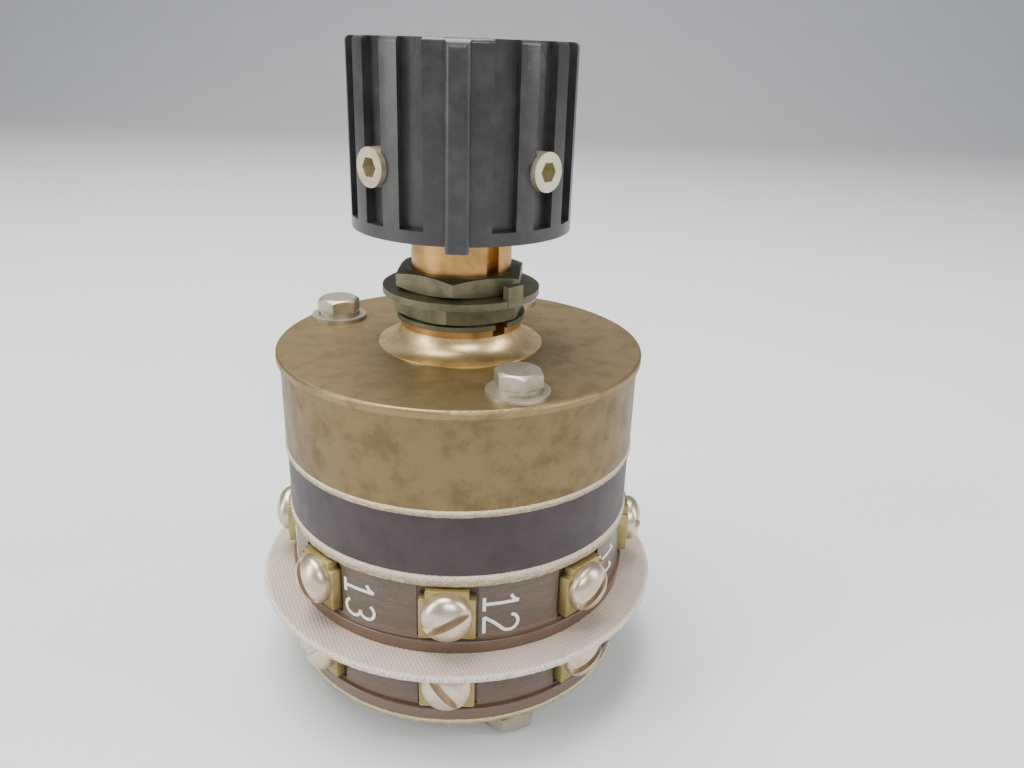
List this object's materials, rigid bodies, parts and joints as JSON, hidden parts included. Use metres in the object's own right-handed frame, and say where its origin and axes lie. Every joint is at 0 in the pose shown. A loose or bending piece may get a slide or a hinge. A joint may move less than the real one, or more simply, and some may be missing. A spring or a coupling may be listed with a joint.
{
  "type": "wirewound rheostat",
  "caption": "Panel-mounted two-section tapped wirewound rheostat: fluted knob on a threaded bushing, metal can, numbered rings of screw terminals and a fabric barrier disc.",
  "frame": {"origin": "on the shaft axis, in the plane of the three bolt tips on which the part stands", "axes": "+Z along the shaft axis, from the bottom plate to the knob; -Y is the front, with the front terminal and the pointer at rest"},
  "size_m": [0.0516, 0.0516, 0.0778],
  "materials": {
    "laminate": "fibrous cut edge of linen laminate",
    "phenolic": "satin moulded phenolic",
    "canvas": "impregnated plain-weave canvas",
    "dark_moulding": "satin moulded phenolic",
    "chromated_can": "satin olive chromate",
    "chromated_cover": "worn glossy olive chromate",
    "plated_fastener": "yellow chromate plating",
    "plated_nut": "yellow-green chromate plating",
    "bushing_brass": "machined thread, tarnished",
    "collar_brass": "bright, heat tinted",
    "terminal_metal": "tarnished plated brass",
    "screw_metal": "dull nickel on brass",
    "bare_brass": "machined",
    "steel": "machined",
    "ceramic": "fired ceramic",
    "resistance_wire": "oxidised resistance wire",
    "copper": "plain copper",
    "brown_insulator": "turned laminate",
    "brush_carbon": "metal-graphite",
    "black_knob": "glossy moulded, scratched",
    "set_screw_steel": "worn plated steel"
  },
  "bodies": {
    "housing": {"base_plate": "laminate", "lower_deck_ring": "phenolic", "barrier_disc": "canvas", "upper_deck_ring": "phenolic", "deck_plate": "laminate", "spacer_ring": "dark_moulding", "gasket_plate": "laminate", "can_shell": "chromated_can", "cover_plate": "chromated_cover", "through_bolts": "plated_fastener", "bolt_flat_washers": "plated_fastener", "bolt_lock_washers": "plated_fastener", "bolt_nuts": "plated_fastener", "threaded_bushing": "bushing_brass", "bushing_collar": "collar_brass", "shoulder_washer": "plated_nut", "depth_nut": "plated_nut", "locating_washer": "plated_nut", "mounting_nut": "plated_nut", "rear_bush": "bare_brass", "stop_pins": "steel", "upper_terminal_plates": "terminal_metal", "lower_terminal_plates": "terminal_metal", "upper_terminal_screws": "screw_metal", "lower_terminal_screws": "screw_metal", "upper_winding_former": "ceramic", "lower_winding_former": "ceramic", "upper_winding": "resistance_wire", "lower_winding": "resistance_wire", "upper_tap_straps": "copper", "lower_tap_straps": "copper", "upper_collector_ring": "bare_brass", "lower_collector_ring": "bare_brass"},
    "rotor": {"knob": "black_knob", "knob_insert": "bare_brass", "knob_set_screws": "set_screw_steel", "shaft": "steel", "thrust_washer": "bare_brass", "spring_washer": "steel", "stop_disc": "steel", "retaining_ring": "steel", "shaft_coupling": "brown_insulator", "coupling_pins": "steel", "rotor_rod": "brown_insulator", "upper_wiper_hub": "brown_insulator", "lower_wiper_hub": "brown_insulator", "upper_contact_arm": "bare_brass", "lower_contact_arm": "bare_brass", "upper_winding_brush": "brush_carbon", "lower_winding_brush": "brush_carbon", "upper_collector_brush": "brush_carbon", "lower_collector_brush": "brush_carbon"}
  },
  "joints": [
    {"name": "shaft_turn", "type": "hinge", "parent": "housing", "child": "rotor", "pos_m": [0, 0, 0.04678], "axis": [0, 0, 1], "range_deg": [-225, 45]}
  ]
}
